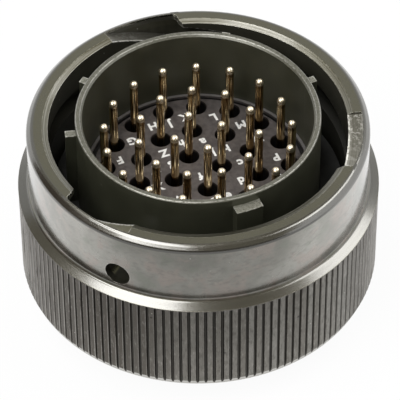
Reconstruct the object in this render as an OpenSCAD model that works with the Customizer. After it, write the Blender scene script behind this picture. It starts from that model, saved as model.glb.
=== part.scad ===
// Bayonet-coupled circular plug with pin contacts, mating face up, standing on its rear end.
// Millimetres. +Z runs along the connector's axis towards the mating face, the origin is on
// that axis at the rear end of the shell, and the wide master key is at -Y.

/* [Plug shell] */
// Outer diameter of the barrel
barrel_d = 29.2; // [28.4:0.1:34]
// Wall of the barrel at its rim
barrel_wall = 0.85; // [0.6:0.05:1.2]
// Depth of the rim's inner bevel
rim_bevel = 0.3; // [0.1:0.05:0.4]
// Depth of the rim's outer bevel
rim_outer_bevel = 0.15; // [0.05:0.05:0.2]
// Height of the keys above the barrel
key_h = 1.25; // [0.8:0.05:1.6]
// Width of the master key
master_key_w = 3.3; // [2.4:0.1:5]
// Width of the four other keys
key_w = 1; // [0.6:0.1:2]
// How far the keys stop short of the rim
key_drop = 1.15; // [0.4:0.05:4]
// How far the shell stands out behind the ring
rear_stand = 3.4; // [2.4:0.1:6]
// How far the barrel stands out in front of the ring
rim_stand = 1.55; // [0:0.05:4]
// Thickness of the flange that the wave spring pushes on
flange_t = 2.5; // [1.6:0.1:4]
// Wall of the shell's rear end at the root of the accessory thread
rear_wall = 0.735; // [0.6:0.005:2]
// Depth of the accessory thread
thread_depth = 0.85; // [0.4:0.05:1]
// How far the journal that the ring turns on stands out past the thread
journal_rise = 0.075; // [0.05:0.005:0.4]
// Bevel of the outer edges at the rear of the shell and of the ring
rear_bevel = 0.3; // [0.1:0.05:0.5]

/* [Coupling ring] */
// Length of the coupling ring
ring_h = 22.5; // [21:0.1:28]
// Room between the barrel and the ring's bore for the mating half's shell
mating_room = 3.25; // [2.8:0.05:4.5]
// Wall of the plain front part outside a track
track_wall = 0.9; // [0.6:0.05:2.5]
// How far the edge above the knurl stands out past the plain front part
grip_rise = 1.3; // [0.8:0.05:3]
// How far the knurl's ridges lie below that edge
ridge_drop = 0.02; // [0.01:0.01:0.1]
// Height of the plain edge above the knurl
knurl_edge_h = 0.12; // [0.05:0.01:0.4]
// Depth of the knurl's grooves
knurl_depth = 0.24; // [0.16:0.01:0.5]
// Number of ridges round the grip
ridge_count = 138; // [100:2:150]
// Width of a ridge's flat top
ridge_top_w = 0.57; // [0.4:0.01:0.65]
// Width of a groove's flat root
groove_root_w = 0.14; // [0.06:0.01:0.2]
// Length of the plain front part
ring_front_h = 8.65; // [8:0.05:11]
// Length of the sloping band between the front part and the knurl
slope_h = 0.55; // [0.4:0.05:2]
// Height of the plain rim under the knurl
ring_foot_h = 0.4; // [0.4:0.05:2]
// Height of the slope at the lower ends of the ridges
ridge_end_h = 0.7; // [0.3:0.05:1.5]
// How far that rim lies below the root of the grooves
foot_drop = 0.05; // [0.05:0.01:0.3]
// Bevel of the front face's outer edge
front_bevel = 0.6; // [0.3:0.02:0.7]
// Radius of that bevel's own two edges
front_round = 0.6; // [0.1:0.05:0.8]
// Width of the shallow bevel round the mouth of the bore
mouth_bevel_w = 0.7; // [0.4:0.05:1.2]
// Depth of that bevel
mouth_bevel_h = 0.25; // [0.05:0.01:0.5]
// Fillet between the front part and the sloping band
neck_fillet = 0.6; // [0.2:0.05:1]
// Thickness of the inner shoulder that holds the ring on the shell
shoulder_t = 3; // [2:0.1:3.6]
// Depth of the recess in the ring's rear face
rear_recess_h = 1.95; // [1.6:0.05:2.6]

/* [Bayonet track] */
// Depth of the three tracks in the bore
track_depth = 1.7; // [1.2:0.05:2.6]
// Width of a track
track_w = 2.9; // [2.2:0.05:3.1]
// Angle of an entry notch
notch_angle = 27.8; // [20:0.2:36]
// Step at the shallow end of an entry ramp
ramp_step = 0.3; // [0.2:0.05:0.8]
// Depth of the ramp's deep end below the ring's front
ramp_fall = 3.7; // [3.3:0.05:4.4]
// Radius of the corner at the notch's deep end
notch_round = 0.7; // [0.3:0.05:1.2]
// Length along the bore of the bevel at the tip of the lip over a track
lip_lead = 0.6; // [0.2:0.05:1.5]
// Angle from the middle of an entry notch to the hole that ends its track
track_angle = 109.2; // [90:0.2:112]
// Distance of the end holes behind the ring's front
end_hole_depth = 6.55; // [5.6:0.05:6.8]
// Diameter of the end holes
end_hole_d = 3.2; // [2.4:0.05:3.3]
// Angle of the first entry notch at rest
ring_turn = 89.3; // [0:0.1:120]

/* [Ring bearing] */
// Thickness of the thrust washer
washer_t = 0.8; // [0.4:0.05:1.4]
// Height of the wave spring between its washer and the flange
spring_h = 2.1; // [1.4:0.05:2.8]
// Thickness of the wave spring's strip
spring_t = 0.35; // [0.15:0.05:0.6]
// Thickness of the clip that holds the ring on the journal
clip_t = 0.9; // [0.5:0.05:1.3]
// Depth of the clip's groove in the journal
clip_groove_depth = 0.7; // [0.4:0.05:0.8]
// How far the clip stands out of the journal
clip_stand = 1.1; // [0.6:0.05:1.6]
// Width of the journal behind the clip's groove
clip_land = 1.17; // [0.6:0.01:2]
// Thickness of the sealing gasket at the barrel's base
gasket_t = 1.5; // [0.8:0.1:2.6]

/* [Contacts and inserts] */
// Depth of the insert's face below the rim
face_depth = 9.75; // [8.5:0.05:10.8]
// Length of the pins above the insert's face
pin_stand = 7.35; // [5:0.05:8.4]
// Diameter of the pins
pin_d = 1.016; // [0.8:0.002:1.4]
// Diameter of the recess round each pin
recess_d = 2.55; // [2:0.05:2.8]
// Depth of that recess
recess_h = 2.4; // [0.8:0.1:3]
// How far both inserts stand out past the nose of the front one, to bear on the shell's step
insert_step = 0.54; // [0.3:0.02:1]
// Thickness of the front insert's wide part
insert_flange_t = 0.9; // [0.5:0.05:2]
// How far the shell's inner step lies behind the front of its flange
step_drop = 0.2; // [0:0.05:1]
// Distance of the fine groove in the insert's face from its edge
face_groove_inset = 0.38; // [0.25:0.01:0.5]
// Width of that groove
face_groove_w = 0.58; // [0.3:0.02:0.62]
// Depth of that groove
face_groove_h = 0.7; // [0.2:0.05:1.2]
// How far the solder cups end inside the shell's rear end
cup_recess = 1.5; // [0.3:0.1:3]
// Length of the solder cups behind the rear insert
cup_l = 5.2; // [3.6:0.1:6]
// Diameter of the solder cups
cup_d = 1.7; // [1.4:0.05:2]
// Bore of the solder cups
cup_bore_d = 1.1; // [0.8:0.05:1.3]
// Depth of that bore
cup_bore_l = 3.6; // [2:0.1:5]
// Length of the open side of the solder cups
scoop_l = 2.1; // [1:0.1:3]
// Height of the open side above the middle of the cup
scoop_stand = 0.28; // [0.1:0.02:0.4]
// Diameter of the collar that the inserts trap
collar_d = 2.4; // [2.1:0.05:2.6]
// Length of the collar
collar_l = 1.6; // [0.8:0.1:2]
// Thickness of the ring that locks the inserts in
lock_t = 0.9; // [0.5:0.05:1.4]
// Width of that ring
lock_w = 2; // [1.2:0.1:2.2]
// Depth of the lock ring's groove in the shell
lock_groove_depth = 0.5; // [0.2:0.05:0.6]
// Distance of the outer row of contacts from the edge of the insert's face
outer_row_inset = 2.44; // [2:0.01:3.2]
// Distance from the outer row of contacts to the middle row
row_gap = 4.01; // [3:0.01:4.6]
// Radius of the inner row of contacts
inner_row_r = 3.02; // [2.4:0.01:3.8]

/* [Clearances] */
// Radial clearance of the ring on its journal
turn_clear = 0.06; // [0.02:0.01:0.1]
// Radial clearance of the washer and the spring on the journal
slip_clear = 0.1; // [0.06:0.01:0.3]
// Radial room inside the ring for the pieces that it turns round
bore_room = 0.3; // [0.2:0.05:0.6]
// Clearance between pieces that seat on each other
seat_gap = 0.04; // [0.02:0.01:0.08]

/* [Hidden] */
$fn = 96;
// The insert arrangement: the number of contacts in each row
OUTER_COUNT = 17;
MIDDLE_COUNT = 11;
INNER_COUNT = 4;
BAYONET_COUNT = 3;
// Angles of the shell's keys, from the master key
KEY_ANGLES = [95, 145, 220, 255];
MASTER_ANGLE = -90;
// How far a cut runs past the surface that it opens
over_cut = 1;

// Radii, from the barrel inwards and outwards
barrel_r = barrel_d / 2;
barrel_bore_r = barrel_r - barrel_wall;
nose_r = barrel_bore_r - seat_gap;
insert_r = nose_r + insert_step;
shell_bore_r = insert_r + seat_gap;
lock_r = shell_bore_r + lock_groove_depth;
thread_root_r = shell_bore_r + rear_wall;
journal_r = thread_root_r + thread_depth + journal_rise;
outer_row_r = nose_r - outer_row_inset;
middle_row_r = outer_row_r - row_gap;
clip_root_r = journal_r - clip_groove_depth;
clip_r = journal_r + clip_stand;
key_r = barrel_r + key_h;
ring_bore_r = barrel_r + mating_room;
flange_r = ring_bore_r - bore_room;
track_r = ring_bore_r + track_depth;
ring_front_r = track_r + track_wall;
knurl_edge_r = ring_front_r + grip_rise;
knurl_r = knurl_edge_r - ridge_drop;
knurl_root_r = knurl_r - knurl_depth;
foot_r = knurl_root_r - foot_drop;

// Heights, from the rear end up
z_ring_rear = rear_stand;
z_ring_front = z_ring_rear + ring_h;
z_shoulder_rear = z_ring_rear + rear_recess_h;
z_shoulder_front = z_shoulder_rear + shoulder_t;
z_clip = z_shoulder_rear - seat_gap - clip_t;
z_thread_end = z_clip - seat_gap - clip_land;
z_washer = z_shoulder_front + seat_gap;
z_spring = z_washer + washer_t + seat_gap;
z_flange = z_spring + spring_h + seat_gap;
z_flange_front = z_flange + flange_t;
z_gasket = z_flange_front + seat_gap;
z_key_end = z_gasket + gasket_t + seat_gap;
z_rim = z_ring_front + rim_stand;
z_face = z_rim - face_depth;
z_tip = z_face + pin_stand;
z_step = z_flange_front - step_drop;
z_insert_step = z_step - seat_gap;
z_parting = z_insert_step - insert_flange_t;
z_cup = cup_recess;
z_insert_rear = z_cup + cup_l;
z_lock = z_insert_rear - seat_gap - lock_t;
z_slope = z_ring_front - ring_front_h;
z_knurl_top = z_slope - slope_h;

CONTACTS = concat(
    row_of_contacts(OUTER_COUNT, outer_row_r, MASTER_ANGLE - 180 / OUTER_COUNT),
    row_of_contacts(MIDDLE_COUNT, middle_row_r, MASTER_ANGLE),
    row_of_contacts(INNER_COUNT, inner_row_r, MASTER_ANGLE)
);

// Centres of one row, clockwise as seen from the mating face
function row_of_contacts(count, radius, first) =
    [for (i = [0:count - 1]) radius * [cos(first - i * 360 / count), sin(first - i * 360 / count)]];

function contact_name(i) = str("contact_", i < 10 ? "0" : "", i);

// Points of a round stretch of a profile
function arc(centre, radius, from, to, steps = 7) =
    [for (i = [0:steps]) centre + radius * [cos(from + (to - from) * i / steps),
                                            sin(from + (to - from) * i / steps)]];

// A point at a radius, an angle and a height
function polar(r, a, z) = [r * cos(a), r * sin(a), z];

// The angle of a short stretch of a circle
function angle_of(length, radius) = length / radius * 180 / PI;

// A solid swept through sections of four points each, with a flat cap at both ends
module swept(sections) {
    last = len(sections) - 1;
    polyhedron(
        points = [for (s = sections) each s],
        faces = concat(
            [[0, 1, 2, 3]],
            [for (i = [0:last - 1], k = [0:3])
                [4 * i + k, 4 * (i + 1) + k, 4 * (i + 1) + (k + 1) % 4, 4 * i + (k + 1) % 4]],
            [[4 * last + 3, 4 * last + 2, 4 * last + 1, 4 * last]]
        )
    );
}

// Outline of the knurled grip: a flat-topped ridge and a narrow groove, repeated
module knurl_outline() {
    pitch = 360 / ridge_count;
    top = angle_of(ridge_top_w / 2, knurl_r);
    root = pitch / 2 - angle_of(groove_root_w / 2, knurl_root_r);
    polygon([for (i = [0:ridge_count - 1], p = [[knurl_r, -top], [knurl_r, top],
                                                [knurl_root_r, root], [knurl_root_r, pitch - root]])
        p[0] * [cos(i * pitch + p[1]), sin(i * pitch + p[1])]]);
}

// Half section of the coupling ring. The grip is left over size here and gets its ridges
// from the outline above.
module ring_section() {
    grip_r = knurl_edge_r + over_cut;
    slope = slope_h / grip_rise;
    slope_angle = atan(slope);
    ridge_end_slope = ridge_end_h / (knurl_r - foot_r);
    // The neck's fillet touches the plain front part and the sloping band
    neck_rise = neck_fillet * tan((90 - slope_angle) / 2);
    neck = [ring_front_r + neck_fillet, z_slope + neck_rise];
    // The round edges of the front bevel start this far past its corners, and leave a flat
    // between them
    bevel_angle = 45;
    edge_share = 0.65;
    edge_run = min(front_round * tan(bevel_angle / 2), front_bevel * edge_share);
    edge_r = edge_run / tan(bevel_angle / 2);
    low_edge = [ring_front_r - edge_r, z_ring_front - front_bevel - edge_run];
    high_edge = [ring_front_r - front_bevel - edge_run, z_ring_front - edge_r];
    polygon(concat(
        [[clip_r + bore_room, z_ring_rear],
         [foot_r - rear_bevel, z_ring_rear],
         [foot_r, z_ring_rear + rear_bevel],
         [foot_r, z_ring_rear + ring_foot_h],
         [grip_r, z_ring_rear + ring_foot_h + (grip_r - foot_r) * ridge_end_slope],
         [grip_r, z_knurl_top - over_cut * slope]],
        arc(neck, neck_fillet, 270 - slope_angle, 180),
        arc(low_edge, edge_r, 0, bevel_angle),
        arc(high_edge, edge_r, bevel_angle, 90),
        [[ring_bore_r + mouth_bevel_w, z_ring_front],
         [ring_bore_r, z_ring_front - mouth_bevel_h],
         [ring_bore_r, z_shoulder_front],
         [journal_r + turn_clear, z_shoulder_front],
         [journal_r + turn_clear, z_shoulder_rear],
         [clip_r + bore_room, z_shoulder_rear]]
    ));
}

// Room for one bayonet pin: an entry notch with a step and a sloping floor, then a track that
// falls slowly clockwise under the lip
module bayonet_track() {
    inner_r = ring_bore_r - over_cut;
    half = notch_angle / 2;
    ramp_steps = 8;
    steps = 18;
    end_floor = end_hole_depth + track_w / 2;
    wall_angle = 0.3;
    ramp_rate = (ramp_fall - ramp_step) / notch_angle;
    track_rate = (end_floor - ramp_fall) / (track_angle - half);
    function section(a, floor_z, roof_z) =
        [polar(inner_r, a, floor_z), polar(track_r, a, floor_z),
         polar(track_r, a, roof_z), polar(inner_r, a, roof_z)];
    function ramp(a) =
        section(a, z_ring_front - ramp_step - ramp_rate * (half - a), z_ring_front + over_cut);
    function under_lip(a) =
        let (floor_z = z_ring_front - ramp_fall - track_rate * (-half - a))
        section(a, floor_z, floor_z + track_w);
    swept(concat(
        [for (i = [0:ramp_steps]) ramp(half - notch_angle * i / ramp_steps)],
        [for (i = [0:steps])
            under_lip(-half - wall_angle - (track_angle - half - wall_angle) * i / steps)]
    ));
    rotate(-track_angle)
        translate([inner_r, 0, z_ring_front - end_hole_depth])
            rotate([0, 90, 0]) cylinder(d = end_hole_d, h = knurl_r - inner_r + over_cut, $fn = 32);
}

// What the round cutter left in the deep corner of a notch, between its outer wall and its end
module notch_corner() {
    sunk = track_wall / 3;
    lip_t = ramp_fall - track_w;
    rotate(-notch_angle / 2) translate([track_r - notch_round, 0, z_ring_front - lip_t])
        linear_extrude(lip_t) difference() {
            translate([0, -sunk]) square([notch_round + sunk, notch_round + sunk]);
            translate([0, notch_round]) circle(notch_round);
        }
}

// The bevel at the tip of the lip, where a bayonet pin slides under it
module tip_bevel() {
    lip_t = ramp_fall - track_w;
    depth = track_depth / 2;
    run = lip_lead * over_cut / depth;
    rotate(-notch_angle / 2) translate([ring_bore_r, 0, z_ring_front - lip_t - track_w / 2])
        linear_extrude(lip_t + track_w / 2 + over_cut)
            polygon([[depth, 0], [-over_cut, -lip_lead - run], [-over_cut, over_cut], [depth, over_cut]]);
}

// What lies inside the outline of the ring: the knurl, and a plain edge above it
module ring_outline() {
    z_groove_end = z_knurl_top - knurl_edge_h;
    translate([0, 0, z_ring_rear - over_cut])
        linear_extrude(z_knurl_top - z_ring_rear + over_cut) knurl_outline();
    translate([0, 0, z_groove_end])
        cylinder(r = knurl_edge_r, h = z_ring_front - z_groove_end + over_cut, $fn = 180);
}

module coupling_ring() {
    color("#6b695c") rotate(ring_turn) {
        difference() {
            intersection() {
                rotate_extrude($fn = 180) ring_section();
                ring_outline();
            }
            for (i = [0:BAYONET_COUNT - 1])
                rotate(i * 360 / BAYONET_COUNT) {
                    bayonet_track();
                    tip_bevel();
                }
        }
        for (i = [0:BAYONET_COUNT - 1])
            rotate(i * 360 / BAYONET_COUNT) notch_corner();
    }
}

// Half section of the plug shell
module shell_section() {
    polygon([
        [shell_bore_r, 0],
        [thread_root_r - rear_bevel, 0],
        [thread_root_r, rear_bevel],
        [thread_root_r, z_thread_end],
        [journal_r, z_thread_end],
        [journal_r, z_clip - seat_gap],
        [clip_root_r, z_clip - seat_gap],
        [clip_root_r, z_clip + clip_t + seat_gap],
        [journal_r, z_clip + clip_t + seat_gap],
        [journal_r, z_flange],
        [flange_r, z_flange],
        [flange_r, z_flange_front],
        [barrel_r, z_flange_front],
        [barrel_r, z_rim - rim_outer_bevel],
        [barrel_r - rim_outer_bevel, z_rim],
        [barrel_bore_r + rim_bevel, z_rim],
        [barrel_bore_r, z_rim - rim_bevel],
        [barrel_bore_r, z_step],
        [shell_bore_r, z_step],
        [shell_bore_r, z_lock + lock_t + seat_gap],
        [lock_r, z_lock + lock_t + seat_gap],
        [lock_r, z_lock - seat_gap],
        [shell_bore_r, z_lock - seat_gap]
    ]);
}

// One key along the outside of the barrel, with a round back
module key(angle, width) {
    sunk = barrel_wall / 2;
    top = z_rim - key_drop;
    rotate(angle) intersection() {
        translate([barrel_r - sunk, -width / 2, z_key_end])
            cube([key_h + 2 * sunk, width, top - z_key_end]);
        cylinder(r = key_r, h = z_rim);
    }
}

module plug_shell() {
    color("#3f4138") union() {
        rotate_extrude($fn = 128) shell_section();
        key(MASTER_ANGLE, master_key_w);
        for (a = KEY_ANGLES) key(MASTER_ANGLE + a, key_w);
    }
}

// A flat ring between two radii
module flat_ring(inner, outer, height) {
    difference() {
        cylinder(r = outer, h = height);
        translate([0, 0, -over_cut]) cylinder(r = inner, h = height + 2 * over_cut);
    }
}

// A ring of square wire with a gap, as a snap ring has
module split_ring(inner, outer, height, gap_angle) {
    rotate_extrude(angle = 360 - gap_angle) translate([inner, 0]) square([outer - inner, height]);
}

module main_gasket() {
    color("#26251f") translate([0, 0, z_gasket])
        flat_ring(barrel_r + seat_gap, flange_r - seat_gap, gasket_t);
}

module coupling_clip() {
    gap_angle = 24;
    color("silver") rotate(ring_turn) translate([0, 0, z_clip])
        split_ring(clip_root_r + seat_gap, clip_r, clip_t, gap_angle);
}

module thrust_washer() {
    color("silver") translate([0, 0, z_washer])
        flat_ring(journal_r + slip_clear, flange_r, washer_t);
}

// A thin strip bent into waves round the journal
module wave_spring() {
    waves = 5;
    steps = 90;
    inner = journal_r + slip_clear;
    function low(a) = z_spring + (spring_h - spring_t) * (1 + cos(waves * a)) / 2;
    function section(a) = [polar(inner, a, low(a)), polar(flange_r, a, low(a)),
                           polar(flange_r, a, low(a) + spring_t), polar(inner, a, low(a) + spring_t)];
    gap_angle = 4;
    color("silver")
        swept([for (i = [0:steps]) section(-gap_angle / 2 - (360 - gap_angle) * i / steps)]);
}

// Holes of one diameter at every contact
module contact_holes(d, from, to) {
    for (p = CONTACTS)
        translate([p[0], p[1], from]) cylinder(d = d, h = to - from, $fn = 32);
}

module front_insert() {
    groove_r = nose_r - face_groove_inset;
    color("#544c4a") difference() {
        union() {
            translate([0, 0, z_parting]) cylinder(r = insert_r, h = insert_flange_t);
            translate([0, 0, z_parting]) cylinder(r = nose_r, h = z_face - z_parting);
        }
        translate([0, 0, z_face - face_groove_h])
            flat_ring(groove_r - face_groove_w, groove_r, face_groove_h + over_cut);
        contact_holes(pin_d + 2 * seat_gap, z_parting - over_cut, z_face + over_cut);
        contact_holes(recess_d, z_face - recess_h, z_face + over_cut);
        contact_holes(collar_d + 2 * seat_gap, z_parting - over_cut, z_parting + collar_l / 2 + seat_gap);
    }
}

module rear_insert() {
    top = z_parting - seat_gap;
    color("#3a3836") difference() {
        translate([0, 0, z_insert_rear]) cylinder(r = insert_r, h = top - z_insert_rear);
        contact_holes(cup_d + 2 * seat_gap, z_insert_rear - over_cut, top + over_cut);
        contact_holes(collar_d + 2 * seat_gap, z_parting - collar_l / 2 - seat_gap, top + over_cut);
    }
}

module insert_lock_ring() {
    gap_angle = 30;
    outer = lock_r - seat_gap;
    color("silver") rotate(MASTER_ANGLE + gap_angle / 2) translate([0, 0, z_lock])
        split_ring(outer - lock_w, outer, lock_t, gap_angle);
}

// A turned contact: round-nosed pin, trapped collar and a solder cup open on one side
module contact(place) {
    color("#b08d4f") translate([place[0], place[1], 0]) difference() {
        union() {
            translate([0, 0, z_tip - pin_d / 2]) sphere(d = pin_d, $fn = 32);
            translate([0, 0, z_parting]) cylinder(d = pin_d, h = z_tip - pin_d / 2 - z_parting, $fn = 32);
            translate([0, 0, z_parting - collar_l / 2]) cylinder(d = collar_d, h = collar_l, $fn = 32);
            translate([0, 0, z_cup]) cylinder(d = cup_d, h = z_parting - z_cup, $fn = 32);
        }
        translate([0, 0, z_cup - over_cut])
            cylinder(d = cup_bore_d, h = cup_bore_l + over_cut, $fn = 32);
        translate([-cup_d, -cup_d - scoop_stand, z_cup - over_cut])
            cube([2 * cup_d, cup_d, scoop_l + over_cut]);
    }
}

coupling_ring();
plug_shell();
main_gasket();
front_insert();
rear_insert();
insert_lock_ring();
coupling_clip();
thrust_washer();
wave_spring();
for (i = [1:len(CONTACTS)])
    contact(CONTACTS[i - 1]);
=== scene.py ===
# %% [markdown]
# # A bayonet-coupled circular plug
#
# The solids of this connector come from CAD, at their real size. This lesson gives them their
# finish: worn olive plating, a satin grip, gold pins, and the white marks on the insert. It also
# adds the few pieces that are too fine for the solids, such as the turns of the rear thread.

# %% Load the solids
import math
from types import SimpleNamespace

import bmesh
import bpy
from mathutils import Matrix, Vector


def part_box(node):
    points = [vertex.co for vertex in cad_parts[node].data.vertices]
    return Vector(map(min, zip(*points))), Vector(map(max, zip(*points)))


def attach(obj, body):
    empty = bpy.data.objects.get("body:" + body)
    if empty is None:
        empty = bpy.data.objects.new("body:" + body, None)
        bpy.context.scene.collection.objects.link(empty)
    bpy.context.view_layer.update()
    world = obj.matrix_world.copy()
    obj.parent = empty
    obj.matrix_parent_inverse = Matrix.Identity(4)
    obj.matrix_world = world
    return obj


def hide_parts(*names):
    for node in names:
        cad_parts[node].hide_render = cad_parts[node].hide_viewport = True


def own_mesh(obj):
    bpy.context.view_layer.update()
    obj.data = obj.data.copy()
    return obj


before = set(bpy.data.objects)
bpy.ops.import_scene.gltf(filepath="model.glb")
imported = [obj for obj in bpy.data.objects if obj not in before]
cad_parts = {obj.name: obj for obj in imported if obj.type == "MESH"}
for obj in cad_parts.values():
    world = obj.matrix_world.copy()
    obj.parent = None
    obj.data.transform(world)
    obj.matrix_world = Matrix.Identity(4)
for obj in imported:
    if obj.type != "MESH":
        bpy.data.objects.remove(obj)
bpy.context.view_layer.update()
MM = 0.001

# %% [markdown]
# ## The camera
#
# The photograph looks down on the mating face from about 46 degrees, through a long lens, with
# the wide master key a little to the right. The camera could be pointed by an empty and a
# constraint. Here its three axes are worked out instead, because then the spot where the pin
# tips' plane meets the axis can be put at an exact place in the picture.

# %% Make the camera
_, pin_high = (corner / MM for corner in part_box("contact_01"))
TIP = pin_high.z
LOOK_FROM = math.radians(-90 - 22.2)
LOOK_DOWN = math.radians(45.8)
ROLL = math.radians(0.4)
LENS_PX, PICTURE_PX = 3200, 400
PX_PER_MM = 8.42
TIPS_RIGHT_PX, TIPS_UP_PX = -1.9, 71.05
SENSOR_MM = 36


def camera_axes(look_from, look_down, roll):
    """Right, up and backward directions of a camera that looks at the part from one side."""
    back = Vector((math.cos(look_down) * math.cos(look_from),
                   math.cos(look_down) * math.sin(look_from), math.sin(look_down)))
    right = Vector((0, 0, 1)).cross(back).normalized()
    turn = Matrix.Rotation(-roll, 3, back)
    return turn @ right, turn @ back.cross(right), back


right, up, back = camera_axes(LOOK_FROM, LOOK_DOWN, ROLL)
tips_centre = Vector((0, 0, TIP * MM))
depth = LENS_PX / PX_PER_MM * MM
aside = right * TIPS_RIGHT_PX + up * TIPS_UP_PX
eye = tips_centre - aside / PX_PER_MM * MM + back * depth
lens = bpy.data.cameras.new("photo_camera")
lens.sensor_width = SENSOR_MM
lens.lens = LENS_PX / PICTURE_PX * SENSOR_MM
lens.clip_start = 10 * MM
camera = bpy.data.objects.new("photo_camera", lens)
camera.matrix_world = Matrix((right, up, back)).transposed().to_4x4()
camera.location = eye
bpy.context.scene.collection.objects.link(camera)
bpy.context.scene.camera = camera
print(f"camera {depth / MM:.0f} mm from the pin tips, lens {lens.lens:.0f} mm")

# %% [markdown]
# ## A material for the coupling ring
#
# The ring is turned aluminium with an olive plating. Hands have polished the plain front part to
# a cloudy grey, and the edges show bare metal. Two materials on two sets of faces could do this,
# but wear doesn't stop at a face's edge. One material that knows the height and the radius lets
# every tone fade into the next. Its graph could be drawn by hand in the editor. These helpers keep
# a node to one line, so that a finish reads like a recipe.

# %% Start the ring's material
def put(tree, kind, *feeds, **settings):
    """Adds one node. Settings are its properties, and feeds fill its inputs in order."""
    node = tree.nodes.new(kind)
    for name, value in settings.items():
        setattr(node, name, value)
    for socket, feed in zip(node.inputs, feeds):
        connect(tree, feed, socket)
    return node


def connect(tree, feed, socket):
    """Links a socket to the input, or writes a plain value in it."""
    if isinstance(feed, bpy.types.NodeSocket):
        tree.links.new(feed, socket)
    elif feed is not None:
        socket.default_value = feed


def start_material(name):
    """A new material, its tree, its shader and its Object coordinates in millimetres."""
    material = bpy.data.materials.new(name)
    material.use_nodes = True
    tree = material.node_tree
    place = put(tree, "ShaderNodeTexCoord").outputs["Object"]
    scaled = put(tree, "ShaderNodeVectorMath", place, operation="SCALE")
    scaled.inputs["Scale"].default_value = 1 / MM
    return material, tree, tree.nodes["Principled BSDF"], scaled.outputs["Vector"]


ring_plating, ring_tree, ring_shader, ring_place = start_material("ring_plating")
print(f"{ring_plating.name}: {len(ring_tree.nodes)} shader nodes to begin with")

# %% [markdown]
# ## Places on the ring
#
# The ring was turned on a lathe, so its surfaces differ by their distance from the axis and their
# height. A UV map could tell them apart too, but it would have to be unwrapped again when the
# solid changes. Distance, height and how far the surface faces up need no map.

# %% Find places on the ring
def calc(tree, operation, *feeds):
    """One step of arithmetic on plain values or on other nodes' results."""
    return put(tree, "ShaderNodeMath", *feeds, operation=operation).outputs[0]


def cylinder_place(tree, place):
    """Distance from the connector's axis, and height, in millimetres."""
    x, y, z = put(tree, "ShaderNodeSeparateXYZ", place).outputs
    squares = calc(tree, "ADD", calc(tree, "MULTIPLY", x, x), calc(tree, "MULTIPLY", y, y))
    return calc(tree, "SQRT", squares), z


def facing_up(tree):
    """The upward share of the surface's direction."""
    normal = put(tree, "ShaderNodeNewGeometry").outputs["Normal"]
    return put(tree, "ShaderNodeSeparateXYZ", normal).outputs["Z"]


ring_zone = SimpleNamespace(upward=facing_up(ring_tree))
ring_zone.radius, ring_zone.height = cylinder_place(ring_tree, ring_place)
ring_zone.side = put(ring_tree, "ShaderNodeSeparateXYZ", ring_place).outputs["X"]
print("places on the ring:", ", ".join(vars(ring_zone)))

# %% [markdown]
# ## Zones on the ring's outer side
#
# From the front down, the ring has a rounded edge, a plain wall, a neck with a small slope, the
# knurled grip and a foot. Their heights could all be typed in, but then they would go stale when
# the solid changes. So they hang on the ring's own box, and only steps that no box shows are
# written here, in millimetres. Each zone becomes a mask, which is 1 there and fades to 0 elsewhere.

# %% Find the outer zones
ring_low, ring_high = (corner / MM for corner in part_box("coupling_ring"))
RING_FRONT, RING_REAR = ring_high.z, ring_low.z
FRONT_R, FRONT_BEVEL = 20.45, 0.85
SLOPE_TOP = RING_FRONT - 8.65
KNURL_TOP = SLOPE_TOP - 0.55
KNURL_R, GROOVE_DEPTH = ring_high.x - 0.02, 0.24
FOOT_TOP = RING_REAR + 0.4


def rise(tree, value, low, high):
    """0 below the low value, 1 above the high one, and a soft step between them."""
    step = put(tree, "ShaderNodeMapRange", value, low, high, 0.0, 1.0, interpolation_type="SMOOTHSTEP")
    return step.outputs["Result"]


def all_of(tree, mask, *others):
    """1 where every mask is 1."""
    for other in others:
        mask = calc(tree, "MULTIPLY", mask, other)
    return mask


def any_of(tree, mask, *others):
    """1 where at least one mask is 1."""
    for other in others:
        mask = calc(tree, "MAXIMUM", mask, other)
    return mask


def span(tree, value, low, high, soft):
    """1 between two values, with soft ends."""
    above_low = rise(tree, value, low - soft, low + soft)
    return all_of(tree, above_low, rise(tree, value, high + soft, high - soft))


def find_outer_zones(tree, zone):
    """Masks for the ring's outer side, from the front edge down to the foot."""
    radius, height = zone.radius, zone.height
    edge_r, edge_z = FRONT_R - FRONT_BEVEL, RING_FRONT - FRONT_BEVEL
    outside = rise(tree, radius, FRONT_R - 0.25, FRONT_R - 0.05)
    zone.front_edge = all_of(tree, rise(tree, radius, edge_r - 0.15, edge_r + 0.1),
                             rise(tree, height, edge_z - 0.15, edge_z + 0.1))
    zone.wall = all_of(tree, outside, span(tree, height, SLOPE_TOP, edge_z, 0.1))
    zone.neck = all_of(tree, outside, span(tree, height, SLOPE_TOP - 0.5, SLOPE_TOP + 1.5, 0.1))
    zone.fillet = all_of(tree, outside, span(tree, height, SLOPE_TOP - 0.02, SLOPE_TOP + 0.2, 0.05))
    zone.slope = all_of(tree, outside, span(tree, height, KNURL_TOP, SLOPE_TOP, 0.06))
    zone.grip_edge = span(tree, height, KNURL_TOP - 0.16, KNURL_TOP + 0.08, 0.04)
    zone.grip = all_of(tree, outside, rise(tree, height, KNURL_TOP + 0.04, KNURL_TOP - 0.04))
    zone.groove = all_of(tree, zone.grip, rise(tree, radius, KNURL_R - 0.04, KNURL_R - GROOVE_DEPTH))
    foot = any_of(tree, rise(tree, zone.upward, -0.12, -0.28), rise(tree, height, FOOT_TOP + 0.1, FOOT_TOP))
    zone.foot = all_of(tree, outside, foot, rise(tree, height, FOOT_TOP + 1.2, FOOT_TOP + 1))


find_outer_zones(ring_tree, ring_zone)
print(f"knurl {2 * KNURL_R:.1f} mm, ring {RING_REAR:.1f} to {RING_FRONT:.1f} mm,",
      f"{len(vars(ring_zone))} places and masks")

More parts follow.
